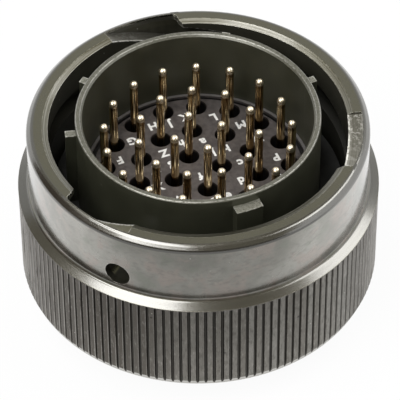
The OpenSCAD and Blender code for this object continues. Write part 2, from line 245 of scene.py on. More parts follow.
# %% [markdown]
# ## Zones in the ring's mouth
#
# The mouth has a bevelled lip, a bore with a small step, three notches whose ramps fall into the
# tracks, and a hole at each track's end. Each face could be picked by its number, but a new solid
# numbers its faces anew. Height, radius and slope find them again.

# %% Find the mouth's zones
BORE_R, TRACK_R = 17.85, 19.55
MOUTH_BEVEL_R = BORE_R + 0.7
RAMP_FALL = 3.7


def find_mouth_zones(tree, zone):
    """Masks for the ring's front face and bore."""
    radius, height, upward = zone.radius, zone.height, zone.upward
    in_bore = rise(tree, radius, TRACK_R + 0.15, TRACK_R - 0.05)
    steep = all_of(tree, in_bore, rise(tree, upward, 0.75, 0.45))
    zone.step = all_of(tree, steep, rise(tree, height, RING_FRONT - 0.38, RING_FRONT - 0.3))
    zone.inside = calc(tree, "SUBTRACT", steep, zone.step)
    zone.deep_inside = all_of(tree, in_bore, rise(tree, height, RING_FRONT - 2.2, RING_FRONT - 2.8))
    zone.flat_top = rise(tree, upward, 0.75, 0.9)
    lip = all_of(tree, zone.flat_top, rise(tree, height, RING_FRONT - 0.32, RING_FRONT - 0.27))
    zone.bevel = all_of(tree, lip, rise(tree, radius, MOUTH_BEVEL_R + 0.1, MOUTH_BEVEL_R - 0.15))
    zone.bevel_line = all_of(tree, lip, span(tree, radius, MOUTH_BEVEL_R - 0.05, MOUTH_BEVEL_R + 0.03, 0.03))


def find_notch_zones(tree, zone):
    """Masks for the notches' ramps, the tracks' floors and the end holes."""
    radius, height = zone.radius, zone.height
    zone.ramp = all_of(tree, zone.flat_top, rise(tree, height, RING_FRONT - 0.27, RING_FRONT - 0.32),
                       rise(tree, radius, TRACK_R + 0.1, TRACK_R))
    zone.ramp_top = all_of(tree, zone.ramp, rise(tree, height, RING_FRONT - 2.2, RING_FRONT - 1.2))
    zone.ramp_edge = all_of(tree, zone.ramp, rise(tree, radius, BORE_R + 0.3, BORE_R + 0.12),
                            rise(tree, height, RING_FRONT - 2.8, RING_FRONT - 2.4))
    floor_z = RING_FRONT - RAMP_FALL
    zone.track_floor = all_of(tree, zone.ramp, rise(tree, height, floor_z, floor_z - 0.3))
    zone.end_hole = all_of(tree, span(tree, radius, TRACK_R, FRONT_R - 0.06, 0.04),
                           rise(tree, height, RING_FRONT - 1.5, RING_FRONT - 2))


find_mouth_zones(ring_tree, ring_zone)
find_notch_zones(ring_tree, ring_zone)
print(f"{len(vars(ring_zone))} places and masks, {len(ring_tree.nodes)} shader nodes so far")

# %% [markdown]
# ## Grey of the wall
#
# The polished wall is a cloudy grey with pinkish, greenish and dark stains. A picture could give
# such a pattern, but it would blur close up. Noise doesn't, and its scale is known in millimetres.

# %% Mix the wall's grey
def fog(tree, place, scale, detail=3.0, roughness=0.55):
    """Soft cloudy noise. The scale is in blobs per millimetre."""
    noise = put(tree, "ShaderNodeTexNoise", place, None, scale, detail, roughness)
    return noise.outputs["Fac"]


def stretch(tree, place, along):
    """Coordinates stretched or squeezed along each axis."""
    return put(tree, "ShaderNodeVectorMath", place, along, operation="MULTIPLY").outputs["Vector"]


def mix(tree, share, first, second):
    """Goes from the first colour to the second as the share goes from 0 to 1."""
    node = put(tree, "ShaderNodeMix", data_type="RGBA")
    for feed, socket in ((share, node.inputs[0]), (first, node.inputs[6]), (second, node.inputs[7])):
        connect(tree, (*feed, 1.0) if isinstance(feed, tuple) else feed, socket)
    return node.outputs[2]


def paint(tree, colour, share, *masks_and_coat):
    """Lays a coat over a colour, where all the masks are 1, as thick as the share."""
    *masks, coat = masks_and_coat
    for mask in masks:
        share = calc(tree, "MULTIPLY", mask, share)
    return mix(tree, share, colour, coat)


def wall_grey(tree, place, cloud, stain):
    """Cloudy grey with stains."""
    grey = mix(tree, rise(tree, cloud, 0.3, 0.7), (0.225, 0.217, 0.182), (0.375, 0.366, 0.324))
    grey = paint(tree, grey, 0.6, rise(tree, stain, 0.5, 0.64), (0.365, 0.300, 0.258))
    grey = paint(tree, grey, 0.55, rise(tree, stain, 0.46, 0.34), (0.215, 0.236, 0.182))
    smudge = fog(tree, stretch(tree, place, (0.8, 0.8, 1.6)), 1.3, 5.0, 0.65)
    return paint(tree, grey, 0.45, rise(tree, smudge, 0.5, 0.66), (0.190, 0.182, 0.156))


ring_cloud = fog(ring_tree, ring_place, 0.16, 4.0)
ring_stain = fog(ring_tree, ring_place, 0.33, 3.0)
ring_wall = wall_grey(ring_tree, ring_place, ring_cloud, ring_stain)
print(f"wall's grey: {len(ring_tree.nodes)} shader nodes so far")

# %% [markdown]
# ## Grey of the grip
#
# Each ridge of the grip has a tone of its own, with pits, and dark grooves: painted shade, with the dirt that
# lies there. At two opposite sides the ridges are painted browner, as shade, and their corners get painted
# highlights. It is taken as wear, where finger and thumb hold the ring, though some of it may be a
# reflection. Bright corners could come from the edge wear below, but it hardly shows at this size. So the
# ridges are counted round the axis.

# %% Mix the grip's grey
RIDGE_COUNT, RIDGE_PHASE = 138, 0.268
RIDGE_CORNER = 0.288


def specks(tree, place, spacing, size, share):
    """Tiny round dots in about that share of the cells of a jittered grid."""
    dots = put(tree, "ShaderNodeTexVoronoi", place, None, 1 / spacing)
    near = rise(tree, dots.outputs["Distance"], size / spacing, 0.4 * size / spacing)
    chance = put(tree, "ShaderNodeSeparateColor", dots.outputs["Color"]).outputs[0]
    return all_of(tree, near, calc(tree, "LESS_THAN", chance, share))


def count_ridges(tree, place):
    """A random number for each ridge of the knurl, counted round the axis, and the distance from
    the ridge's middle as a share of the pitch."""
    x, y, _ = put(tree, "ShaderNodeSeparateXYZ", place).outputs
    turn = calc(tree, "MULTIPLY", calc(tree, "ARCTAN2", y, x), RIDGE_COUNT / math.tau)
    turn = calc(tree, "ADD", turn, RIDGE_PHASE)
    number = calc(tree, "FLOOR", turn)
    chance = put(tree, "ShaderNodeTexWhiteNoise", None, number, noise_dimensions="1D").outputs["Value"]
    off_middle = calc(tree, "SUBTRACT", calc(tree, "SUBTRACT", turn, number), 0.5)
    return chance, calc(tree, "ABSOLUTE", off_middle)


def grip_grey(tree, place, zone):
    """Streaked ridges with pits, grooves darkened as painted shade, and at two sides painted shade with
    painted highlights on the corners.
    """
    chance, off_middle = count_ridges(tree, place)
    # Painted shade and highlight: at two sides the ridges are browner, and their corners bright.
    sides_painted_light = rise(tree, calc(tree, "ABSOLUTE", zone.side), 8, 17)
    streak = fog(tree, stretch(tree, place, (1.0, 1.0, 0.15)), 2.2)
    grey = mix(tree, streak, (0.185, 0.177, 0.160), (0.325, 0.315, 0.290))
    grey = paint(tree, grey, 0.6, chance, (0.135, 0.122, 0.102))
    grey = paint(tree, grey, 0.85, sides_painted_light, (0.078, 0.067, 0.055))
    patch = fog(tree, stretch(tree, place, (1.0, 1.0, 0.35)), 2.6, 5.0, 0.7)
    grey = paint(tree, grey, 0.5, rise(tree, patch, 0.5, 0.62), (0.100, 0.094, 0.080))
    grey = paint(tree, grey, 0.3, rise(tree, patch, 0.44, 0.32), (0.50, 0.49, 0.45))
    grey = paint(tree, grey, 0.9, specks(tree, place, 1.9, 0.22, 0.16), (0.035, 0.032, 0.028))
    # Painted shade in the grooves, with the dirt that lies there.
    grey = paint(tree, grey, 0.85, zone.groove, (0.045, 0.042, 0.036))
    # Painted highlights along the ridges' corners, at the two sides only.
    corner = span(tree, off_middle, RIDGE_CORNER - 0.01, RIDGE_CORNER + 0.05, 0.02)
    highlight_patches = rise(tree, fog(tree, stretch(tree, place, (1.0, 1.0, 0.12)), 1.6, 3.0), 0.28, 0.52)
    return paint(tree, grey, 0.6, corner, highlight_patches, sides_painted_light, (0.66, 0.64, 0.60))


ring_grip = grip_grey(ring_tree, ring_place, ring_zone)
print(f"grip's grey, with {RIDGE_COUNT} ridges counted: {len(ring_tree.nodes)} shader nodes so far")

# %% [markdown]
# ## Plating of the ring
#
# The tones are laid one over another, as a painter works from the ground up. A long chain of
# conditions for each point could do the same, but layers are easier to read and to reorder. The
# notches' ramps show the marks of the mill. Two are greyer than the third, and the upper ends are
# scuffed.

# %% Lay the ring's plating
def tool_marks(tree, place, across, fineness):
    """Streaks that vary quickly across a cut, and slowly along it."""
    x = put(tree, "ShaderNodeSeparateXYZ", place).outputs["X"]
    quick = calc(tree, "MULTIPLY", across, fineness)
    slow = calc(tree, "MULTIPLY", x, 0.12)
    streaks = put(tree, "ShaderNodeCombineXYZ", quick, slow, 0.0).outputs["Vector"]
    return fog(tree, streaks, 1.0, 3.0)


def plate_ring(tree, place, zone, stain, wall, grip):
    """Olive plating, with the polished, gripped and bevelled zones over it."""
    grain = fog(tree, place, 9.0, 2.0)
    turning = tool_marks(tree, place, calc(tree, "ADD", zone.radius, zone.height), 5.0)
    olive = mix(tree, grain, (0.098, 0.090, 0.044), (0.160, 0.149, 0.084))
    bore = mix(tree, stain, (0.052, 0.050, 0.036), (0.090, 0.086, 0.063))
    polished = mix(tree, turning, (0.110, 0.106, 0.092), (0.172, 0.168, 0.154))
    worn_bevel = mix(tree, rise(tree, turning, 0.35, 0.65), (0.096, 0.091, 0.066), (0.360, 0.354, 0.320))
    colour = mix(tree, zone.inside, olive, bore)
    colour = mix(tree, zone.wall, colour, wall)
    colour = mix(tree, any_of(tree, zone.slope, zone.front_edge), colour, polished)
    colour = mix(tree, zone.grip, colour, grip)
    colour = mix(tree, zone.foot, colour, (0.50, 0.49, 0.46))
    return paint(tree, colour, 0.75, zone.bevel, worn_bevel)


def mark_notches(tree, place, zone, colour):
    """Ramps with marks of milling, scuffed at their upper ends, and tracks' floors and end holes painted near
    black as shade.
    """
    milling = rise(tree, tool_marks(tree, place, zone.radius, 6.0), 0.35, 0.65)
    milled = mix(tree, milling, (0.078, 0.075, 0.062), (0.156, 0.152, 0.136))
    off_left = rise(tree, zone.side, -10.0, -4.0)
    colour = paint(tree, colour, 0.9, zone.ramp, off_left, milled)
    scuffs = rise(tree, fog(tree, place, 2.4, 5.0, 0.7), 0.5, 0.6)
    to_right = rise(tree, zone.side, -8.0, 6.0)
    colour = paint(tree, colour, 0.55, zone.ramp_top, scuffs, to_right, (0.52, 0.51, 0.48))
    # Painted shade: the tracks' floors and the end holes are near black.
    return paint(tree, colour, 0.9, any_of(tree, zone.end_hole, zone.track_floor), (0.020, 0.019, 0.015))


ring_colour = plate_ring(ring_tree, ring_place, ring_zone, ring_stain, ring_wall, ring_grip)
ring_colour = mark_notches(ring_tree, ring_place, ring_zone, ring_colour)
print(f"plating laid: {len(ring_tree.nodes)} shader nodes so far")

# %% [markdown]
# ## Wear and painted shade of the ring
#
# Use leaves bare metal along edges and dust on top. Corners are darkened as painted shade, with the dirt that
# gathers there. Each could be masked by hand, but ambient occlusion finds the places: looking outwards it
# finds corners, and looking inwards it finds edges. Colour is enough for such marks, because at this size
# they are about a pixel wide. A dark line of painted shade also runs along the neck's fillet, by its zone.

# %% Wear the ring and paint shade in its corners
DUST = (0.55, 0.54, 0.50)


def rest_of(tree, mask):
    """1 where the mask is 0."""
    return calc(tree, "SUBTRACT", 1.0, mask)


def nearby(tree, reach, inside):
    """How much lies within reach of the surface: metal outside it, or air on its inner side."""
    around = put(tree, "ShaderNodeAmbientOcclusion", samples=8, only_local=True, inside=inside)
    around.inputs["Distance"].default_value = reach * MM
    return rest_of(tree, around.outputs["AO"])


def sharp_edge(tree, reach):
    """1 along outer edges, where plating wears through first."""
    return nearby(tree, reach, inside=True)


def shade_corners(tree, zone, colour):
    """Painted shade along the neck's fillet, and in corners with their dirt, apart from zones left unshaded.
    """
    # Painted shade: a dark line along the neck's fillet.
    colour = paint(tree, colour, 0.4, zone.fillet, (0.085, 0.076, 0.058))
    # Painted shade in the corners that ambient occlusion finds, with their dirt.
    corners = rise(tree, nearby(tree, 0.7, inside=False), 0.15, 0.75)
    shade_allowed = rest_of(tree, any_of(tree, zone.neck, zone.ramp, zone.step))
    return paint(tree, colour, 0.8, corners, shade_allowed, (0.024, 0.022, 0.018))


def bare_edges(tree, place, zone, colour):
    """Bare metal in ragged lines along edges and round the mouth."""
    ragged = rise(tree, fog(tree, place, 1.7, 4.0), 0.42, 0.60)
    edge = rise(tree, sharp_edge(tree, 0.22), 0.16, 0.42)
    plated = any_of(tree, zone.grip_edge, zone.deep_inside, calc(tree, "MULTIPLY", zone.front_edge, 0.9))
    above_grip = rise(tree, zone.height, KNURL_TOP - 0.2, KNURL_TOP + 0.2)
    bare = mix(tree, above_grip, (0.46, 0.45, 0.42), (0.62, 0.60, 0.54))
    colour = paint(tree, colour, 0.85, edge, rest_of(tree, plated), ragged, bare)
    frayed = rise(tree, fog(tree, place, 3.2, 4.0), 0.34, 0.52)
    colour = paint(tree, colour, 0.7, zone.ramp_edge, frayed, (0.80, 0.79, 0.74))
    colour = paint(tree, colour, 0.8, zone.step, frayed, (0.55, 0.54, 0.49))
    return paint(tree, colour, 0.5, zone.bevel_line, ragged, (0.50, 0.49, 0.43))


ring_colour = shade_corners(ring_tree, ring_zone, ring_colour)
ring_colour = bare_edges(ring_tree, ring_place, ring_zone, ring_colour)
ring_colour = paint(ring_tree, ring_colour, 1.0, specks(ring_tree, ring_place, 1.1, 0.10, 0.16), DUST)
connect(ring_tree, ring_colour, ring_shader.inputs["Base Color"])
print(f"wear laid: {len(ring_tree.nodes)} shader nodes so far")

# %% [markdown]
# ## Polish of the ring
#
# Plated metal has a clear film, which gives it white highlights over the metal's own tint. A
# lighter colour could stand for it, but a film mirrors the room as the real one does. Polish,
# metal and film follow the zones, because a satin grip and a smooth wall mirror it differently.

# %% Polish the ring
FILM_IOR = 2.0


def blend(tree, value, first, second, low=0.0, high=1.0):
    """Goes from the first number to the second as the value goes from low to high."""
    return put(tree, "ShaderNodeMapRange", value, low, high, first, second).outputs["Result"]


def finish_film(tree, shader, weight, roughness):
    """A clear film over the metal, which gives plating its white highlights."""
    connect(tree, weight, shader.inputs["Coat Weight"])
    shader.inputs["Coat Roughness"].default_value = roughness
    shader.inputs["Coat IOR"].default_value = FILM_IOR


def polish_ring(tree, shader, zone, cloud):
    """Roughness, metal and film, zone by zone."""
    roughness, metallic, film = blend(tree, cloud, 0.18, 0.30, low=0.3, high=0.7), 1.0, 0.9
    for mask, rough_there, metal_there, film_there in (
            (zone.slope, 0.2, 1.0, 0.9), (zone.fillet, 0.38, 1.0, 0.25), (zone.grip, 0.42, 1.0, 0.05),
            (zone.bevel, 0.42, 1.0, 0.5), (zone.inside, 0.4, 0.45, 0.4), (zone.ramp, 0.42, 0.8, 0.4),
            (zone.track_floor, 0.6, 0.4, 0.0), (zone.end_hole, 0.5, 0.6, 0.0)):
        roughness = blend(tree, mask, roughness, rough_there)
        metallic = blend(tree, mask, metallic, metal_there)
        film = blend(tree, mask, film, film_there)
    connect(tree, roughness, shader.inputs["Roughness"])
    connect(tree, metallic, shader.inputs["Metallic"])
    finish_film(tree, shader, film, 0.14)


def soft_edges(tree, shader, radius, bump=None):
    """Rounds the edges in the shading, and adds the bump of a fine surface on top."""
    normal = put(tree, "ShaderNodeBevel", radius * MM, samples=6).outputs["Normal"]
    if bump:
        height, depth_mm, strength = bump
        grain = put(tree, "ShaderNodeBump", strength, depth_mm * MM)
        connect(tree, height, grain.inputs["Height"])
        connect(tree, normal, grain.inputs["Normal"])
        normal = grain.outputs["Normal"]
    connect(tree, normal, shader.inputs["Normal"])


def dress(material, *names):
    """Puts a finish on CAD nodes."""
    for name in names:
        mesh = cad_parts[name].data
        mesh.materials.clear()
        mesh.materials.append(material)
    print(f"{material.name}: {len(names)} nodes, {len(material.node_tree.nodes)} shader nodes")


polish_ring(ring_tree, ring_shader, ring_zone, ring_cloud)
soft_edges(ring_tree, ring_shader, 0.06, (fog(ring_tree, ring_place, 22.0, 2.0), 0.02, 0.2))
dress(ring_plating, "coupling_ring")

# %% [markdown]
# ## Plating of the shell
#
# The barrel wears the same plating as the ring, but it is hardly handled, so it is dark, with the
# paler rim and key tops where the mating half rubs. One material for both could have a switch for
# the wear. A second, shorter recipe is plainer. Dust has settled on it as white specks.

# %% Make the shell's plating
_, shell_high = (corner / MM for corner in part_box("plug_shell"))
RIM = shell_high.z
KEY_TOP = RIM - 1.15
BARREL_R, BARREL_BORE_R = 14.6, 13.75


def wear_rim(tree, place, radius, height, colour):
    """Bright, broken lines along the rim's two edges."""
    near_rim = rise(tree, height, RIM - 0.36, RIM - 0.28)
    rubbed = rise(tree, fog(tree, place, 3.6, 5.0, 0.65), 0.36, 0.54)
    for line_r in (BARREL_BORE_R + 0.24, BARREL_R - 0.12):
        line = span(tree, radius, line_r - 0.02, line_r + 0.02, 0.05)
        colour = paint(tree, colour, 1.0, line, near_rim, rubbed, (0.75, 0.74, 0.68))
    return colour


def make_shell_plating():
    material, tree, shader, place = start_material("shell_plating")
    radius, height = cylinder_place(tree, place)
    stain = fog(tree, place, 0.3, 4.0)
    grain = fog(tree, place, 8.0, 2.0)
    dark = mix(tree, stain, (0.053, 0.055, 0.035), (0.096, 0.097, 0.064))
    pale = mix(tree, rise(tree, grain, 0.35, 0.65), (0.090, 0.088, 0.064), (0.205, 0.201, 0.165))

    near_top = rise(tree, height, KEY_TOP - 0.2, KEY_TOP - 0.1)
    top = all_of(tree, rise(tree, facing_up(tree), 0.5, 0.8), near_top)
    on_keys = rise(tree, radius, BARREL_R, BARREL_R + 0.05)
    colour = mix(tree, top, dark, pale)
    colour = paint(tree, colour, 0.9, top, on_keys, rise(tree, grain, 0.3, 0.6), (0.31, 0.305, 0.255))
    edge = rise(tree, sharp_edge(tree, 0.2), 0.14, 0.36)
    ragged = rise(tree, fog(tree, place, 2.0, 4.0), 0.36, 0.58)
    colour = paint(tree, colour, 0.9, edge, ragged, near_top, on_keys, (0.60, 0.59, 0.53))
    colour = wear_rim(tree, place, radius, height, colour)
    colour = paint(tree, colour, 1.0, specks(tree, place, 1.4, 0.085, 0.18), DUST)
    connect(tree, colour, shader.inputs["Base Color"])
    connect(tree, blend(tree, stain, 0.38, 0.50, low=0.3, high=0.7), shader.inputs["Roughness"])
    shader.inputs["Metallic"].default_value = 0.5
    finish_film(tree, shader, 0.3, 0.3)
    soft_edges(tree, shader, 0.08, (fog(tree, place, 20.0, 2.0), 0.02, 0.2))
    return material


shell_plating = make_shell_plating()
dress(shell_plating, "plug_shell")

# %% [markdown]
# ## The inserts
#
# The front insert is a moulded disc, grey-brown and slightly mottled, and its wells are too deep
# for light to reach. Shadow alone could darken them, but the large lamps still shine in. So the
# material darkens with depth. The rear insert has the same recipe in black.

# %% Make the inserts' plastic
_, insert_high = (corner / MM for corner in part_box("front_insert"))
FACE = insert_high.z
LAND_R = insert_high.x - 0.92


def make_insert_plastic(name, low, high):
    material, tree, shader, place = start_material(name)
    radius, height = cylinder_place(tree, place)
    mottle = fog(tree, place, 1.6, 4.0)
    colour = mix(tree, rise(tree, mottle, 0.3, 0.7), low, high)
    edge_land = rise(tree, radius, LAND_R - 0.03, LAND_R + 0.03)
    colour = paint(tree, colour, 0.5, edge_land, (0.17, 0.165, 0.16))
    well = rise(tree, height, FACE - 0.12, FACE - 0.5)
    colour = mix(tree, well, colour, (0.006, 0.005, 0.005))
    colour = paint(tree, colour, 0.8, specks(tree, place, 1.3, 0.06, 0.12), (0.40, 0.39, 0.38))
    connect(tree, colour, shader.inputs["Base Color"])
    shader.inputs["Roughness"].default_value = 0.5
    soft_edges(tree, shader, 0.06, (fog(tree, place, 14.0, 2.0), 0.02, 0.3))
    return material


insert_face = make_insert_plastic("insert_face", (0.058, 0.050, 0.048), (0.098, 0.086, 0.083))
dress(insert_face, "front_insert")
insert_rear = make_insert_plastic("insert_rear", (0.016, 0.015, 0.015), (0.030, 0.029, 0.028))
dress(insert_rear, "rear_insert")

# %% [markdown]
# ## Gold contacts
#
# The pins are gold over nickel, drawn and polished, with faint brown streaks of age along their sides. Their
# noses are paler, partly gold rubbed by the mating sockets and partly a painted highlight, and a painted
# shade rings each pin below its nose. A plain gold would do from afar. Noise that is drawn out along the pin
# gives the streaks close up.

# %% Make the gold
NOSE_H = 0.75


def make_contact_gold():
    material, tree, shader, place = start_material("contact_gold")
    height = put(tree, "ShaderNodeSeparateXYZ", place).outputs["Z"]
    streak = fog(tree, stretch(tree, place, (1.0, 1.0, 0.04)), 1.6, 1.0)
    gold = mix(tree, rise(tree, streak, 0.44, 0.57), (0.98, 0.79, 0.47), (0.38, 0.25, 0.11))
    # The nose is paler: rubbed gold, and partly a painted highlight.
    nose = rise(tree, height, TIP - NOSE_H - 0.1, TIP - NOSE_H + 0.1)
    colour = mix(tree, nose, gold, (1.0, 0.89, 0.70))
    # Painted shade: a dark ring below the nose.
    waist_shade = span(tree, height, TIP - NOSE_H - 0.5, TIP - NOSE_H - 0.15, 0.15)
    colour = paint(tree, colour, 0.55, waist_shade, (0.16, 0.09, 0.03))
    connect(tree, colour, shader.inputs["Base Color"])
    shader.inputs["Metallic"].default_value = 1.0
    connect(tree, blend(tree, nose, 0.12, 0.32), shader.inputs["Roughness"])
    return material


contact_gold = make_contact_gold()
contact_names = sorted(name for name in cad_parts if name.startswith("contact_"))
dress(contact_gold, *contact_names)

# %% [markdown]
# ## Steel and rubber inside
#
# The clip, washer, wave spring and lock ring are bright spring steel with fine marks of rolling,
# and the gasket at the barrel's base is dull black rubber. Hidden pieces could stay plain, but
# they show when the part is taken apart.

# %% Make the steel and the rubber
def make_spring_steel():
    material, tree, shader, place = start_material("spring_steel")
    rolled = fog(tree, stretch(tree, place, (0.3, 6.0, 6.0)), 1.5, 3.0)
    connect(tree, mix(tree, rolled, (0.42, 0.42, 0.41), (0.66, 0.65, 0.63)), shader.inputs["Base Color"])
    shader.inputs["Metallic"].default_value = 1.0
    connect(tree, blend(tree, rolled, 0.22, 0.36, low=0.3, high=0.7), shader.inputs["Roughness"])
    soft_edges(tree, shader, 0.05)
    return material


def make_seal_rubber():
    material, tree, shader, place = start_material("seal_rubber")
    bloom = fog(tree, place, 1.2, 4.0)
    connect(tree, mix(tree, bloom, (0.018, 0.018, 0.017), (0.040, 0.040, 0.038)), shader.inputs["Base Color"])
    shader.inputs["Roughness"].default_value = 0.75
    soft_edges(tree, shader, 0.1, (fog(tree, place, 10.0, 2.0), 0.03, 0.4))
    return material


spring_steel = make_spring_steel()
dress(spring_steel, "coupling_clip", "thrust_washer", "wave_spring", "insert_lock_ring")
dress(make_seal_rubber(), "main_gasket")

# %% [markdown]
# ## The accessory thread
#
# The solid has a plain cylinder where a cable clamp screws on. A thread could be a bump in the
# material, but from the rear its ridges break the outline. A small profile, spun round the axis
# while it climbs, is the way a lathe cuts one.

# %% Spin the thread
THREAD_ROOT_R, THREAD_R = 15.025, 15.875
THREAD_SUNK = 0.05
THREAD_PITCH = 25.4 / 18
THREAD_HALF_BASE, THREAD_HALF_CREST = 0.48 * THREAD_PITCH, 0.09 * THREAD_PITCH
THREAD_LOW, THREAD_HIGH = 0.3, 3.2
SEGMENTS_A_TURN = 96


def cut_level(mesh, height, outward):
    """Cuts a mesh off flat at a height, and closes the cut."""
    cut = bmesh.ops.bisect_plane(mesh, geom=mesh.verts[:] + mesh.edges[:] + mesh.faces[:],
                                 plane_co=(0, 0, height * MM), plane_no=(0, 0, outward), clear_outer=True)
    open_edges = [edge for edge in cut["geom_cut"] if isinstance(edge, bmesh.types.BMEdge)]
    bmesh.ops.holes_fill(mesh, edges=open_edges)


def make_thread():
    """The thread's turns, which begin and end flat."""
    mesh = bmesh.new()
    turns = (THREAD_HIGH - THREAD_LOW) / THREAD_PITCH + 2
    low = THREAD_LOW - THREAD_PITCH
    root = THREAD_ROOT_R - THREAD_SUNK
    outline = [(root, -THREAD_HALF_BASE), (THREAD_R, -THREAD_HALF_CREST),
               (THREAD_R, THREAD_HALF_CREST), (root, THREAD_HALF_BASE)]
    profile = mesh.faces.new([mesh.verts.new((r * MM, 0, (low + z) * MM)) for r, z in outline])
    steps = round(turns * SEGMENTS_A_TURN)
    climb = Vector((0, 0, THREAD_PITCH * turns / steps * MM))
    bmesh.ops.spin(mesh, geom=[profile], cent=(0, 0, 0), axis=(0, 0, 1), dvec=climb,
                   angle=turns * math.tau, steps=steps)
    cut_level(mesh, THREAD_LOW, -1)
    cut_level(mesh, THREAD_HIGH, 1)
    bmesh.ops.remove_doubles(mesh, verts=mesh.verts, dist=0.001 * MM)
    return mesh


thread_mesh = make_thread()
print(f"thread of {THREAD_PITCH:.2f} mm pitch: {len(thread_mesh.faces)} faces")

# %% [markdown]
# ## The thread on its shell
#
# On the real plug the thread is cut in the shell, so it moves with it and wears its plating. The two could be
# joined in one mesh, but the solid stays as CAD made it. So the thread is a piece of its own that rides on
# the shell's body and wears the shell's plating.

# %% Put the thread on the shell
def add_object(name, mesh, material):
    """Turns a bmesh into an object of the scene."""
    data = bpy.data.meshes.new(name)
    mesh.to_mesh(data)
    mesh.free()
    data.materials.append(material)
    thing = bpy.data.objects.new(name, data)
    bpy.context.scene.collection.objects.link(thing)
    return thing


def finish_piece(name, mesh, material, body):
    """Turns a bmesh into a piece that rides on a body and wears the given material."""
    bmesh.ops.recalc_face_normals(mesh, faces=mesh.faces)
    piece = add_object(name, mesh, material)
    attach(piece, body)
    print(f"{name}: {len(piece.data.polygons)} faces on {body}")
    return piece


finish_piece("accessory_thread", thread_mesh, shell_plating, "shell")

# %% [markdown]
# ## A copy of the spring
#
# When two halves are mated, the ring slides forward and its washer presses the wave spring flat against the
# shell's flange. A rigid spring would cut into the washer. Shape keys could bend it. Here a copy of the
# solid, with a mesh of its own, takes the solid's place.

# %% Copy the spring
MERGE_DISTANCE = 0.0005 * MM


def copy_of_node(name):
    """A solid's mesh as one closed skin, because the frame gives it as loose triangles."""
    mesh = bmesh.new()
    mesh.from_mesh(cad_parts[name].data)
    bmesh.ops.remove_doubles(mesh, verts=mesh.verts, dist=MERGE_DISTANCE)
    open_edges = sum(not edge.is_manifold for edge in mesh.edges)
    print(f"copy of {name}: {len(mesh.faces)} faces, {open_edges} open edges")
    return mesh


spring = finish_piece("flattening_spring", copy_of_node("wave_spring"), spring_steel, "shell")
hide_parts("wave_spring")
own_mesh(spring)

# %% [markdown]
# ## Places of the contact marks
#
# Each contact has a small white letter beside it, printed on the insert. The letters run clockwise
# from the master key and leave out those that are easily misread. Each place could be typed in, but
# the contacts know where they are. So a letter stands on a ring inside its contact's row, turned a
# little to one side, and two letters are nudged to where pins hide them.

# %% Find the letters' places
# Each row has its letters, its first contact, the letters' radius, their radius on the axis, and
# their turn in degrees. The inner marks have their letters, their first contact and their shift.
MARK_ROWS = (
    ("ABCDEFGHJKLMNPRST", 1, 9.75, 9.03, 8.9),
    ("UVWXYZabcde", 18, 5.35, 5.15, -12.3),
)
INNER_MARKS = ("fghj", 29, 2.4)
ON_AXIS = 0.1
NUDGES = {"g": (0.56, -0.23), "N": (-0.56, 0.23)}


def contact_place(number):
    """The middle of a contact, in millimetres."""
    low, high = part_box(f"contact_{number:02d}")
    return (low + high) / 2 / MM


def mark_places():
    """Each letter with its place on the insert's face. One whose contact lies on the axis stands
    straight in from it."""
    for letters, first, radius, axis_radius, turn in MARK_ROWS:
        for i, letter in enumerate(letters):
            pin = contact_place(first + i)
            on_axis = abs(pin.x) < ON_AXIS
            side = 0 if on_axis else math.copysign(1, pin.x)
            angle = math.atan2(pin.y, pin.x) + math.radians(side * turn)
            reach = axis_radius if on_axis else radius
            yield letter, reach * math.cos(angle), reach * math.sin(angle)
    letters, first, shift = INNER_MARKS
    for i, letter in enumerate(letters):
        pin = contact_place(first + i)
        yield letter, pin.x, pin.y + shift


print("marks:", "".join(letter for letter, _, _ in mark_places()))

# %% [markdown]
# ## Print of the contact marks
#
# The letters could be painted with a texture, but then they would need a picture. A text turned
# into a thin mesh stays sharp. All of them become one piece, as one print is.

# %% Print the letters
MARK_SIZE, MARK_BOLDNESS = 1.65, 0.07
MARK_LIFT, MARK_THICK = 0.004, 0.01


def letter_mesh(letter):
    """A flat letter of the size of the marks, as a mesh."""
    text = bpy.data.curves.new("mark", "FONT")
    text.body = letter
    text.size = MARK_SIZE * MM
    text.offset = MARK_BOLDNESS * MM
    text.extrude = MARK_THICK / 2 * MM
    text.align_x, text.align_y = "CENTER", "CENTER"
    text.resolution_u = 4
    holder = bpy.data.objects.new("mark", text)
    bpy.context.scene.collection.objects.link(holder)
    bpy.context.view_layer.update()
    data = bpy.data.meshes.new_from_object(holder.evaluated_get(bpy.context.evaluated_depsgraph_get()))
    bpy.data.objects.remove(holder)
    return data


def make_marks():
    """All letters, each in its place just above the insert's face."""
    mesh = bmesh.new()
    for letter, x, y in mark_places():
        data = letter_mesh(letter)
        aside_x, aside_y = NUDGES.get(letter, (0, 0))
        spot = Vector((x + aside_x, y + aside_y, FACE + MARK_LIFT + MARK_THICK / 2))
        data.transform(Matrix.Translation(spot * MM) @ Matrix.Rotation(math.pi, 4, "Z"))
        mesh.from_mesh(data)
        bpy.data.meshes.remove(data)
    bmesh.ops.remove_doubles(mesh, verts=mesh.verts, dist=MERGE_DISTANCE)
    return mesh


def make_mark_paint():
    material, tree, shader, place = start_material("mark_paint")
    thin = rise(tree, fog(tree, place, 5.0, 3.0), 0.55, 0.75)
    connect(tree, mix(tree, thin, (0.85, 0.85, 0.83), (0.45, 0.44, 0.43)), shader.inputs["Base Color"])
    shader.inputs["Roughness"].default_value = 0.6
    return material


finish_piece("contact_marks", make_marks(), make_mark_paint(), "shell")

# %% [markdown]
# ## Floor and background
#
# The photograph has a white studio with a white table. A stronger lamp could wash the floor white,
# but it would wash out the part too. So the floor and the world show white to the camera and to
# reflections, and light the part at a plain level. The floor keeps a share of its paper, and with
# it the part's shadow.

# %% Make the floor and the world
FLOOR_SIZE = 3.0
FLOOR_GLOW = 0.95
AMBIENT = 0.25
WHITE, PAPER = (1.0, 1.0, 1.0, 1.0), (0.9, 0.9, 0.9, 1.0)


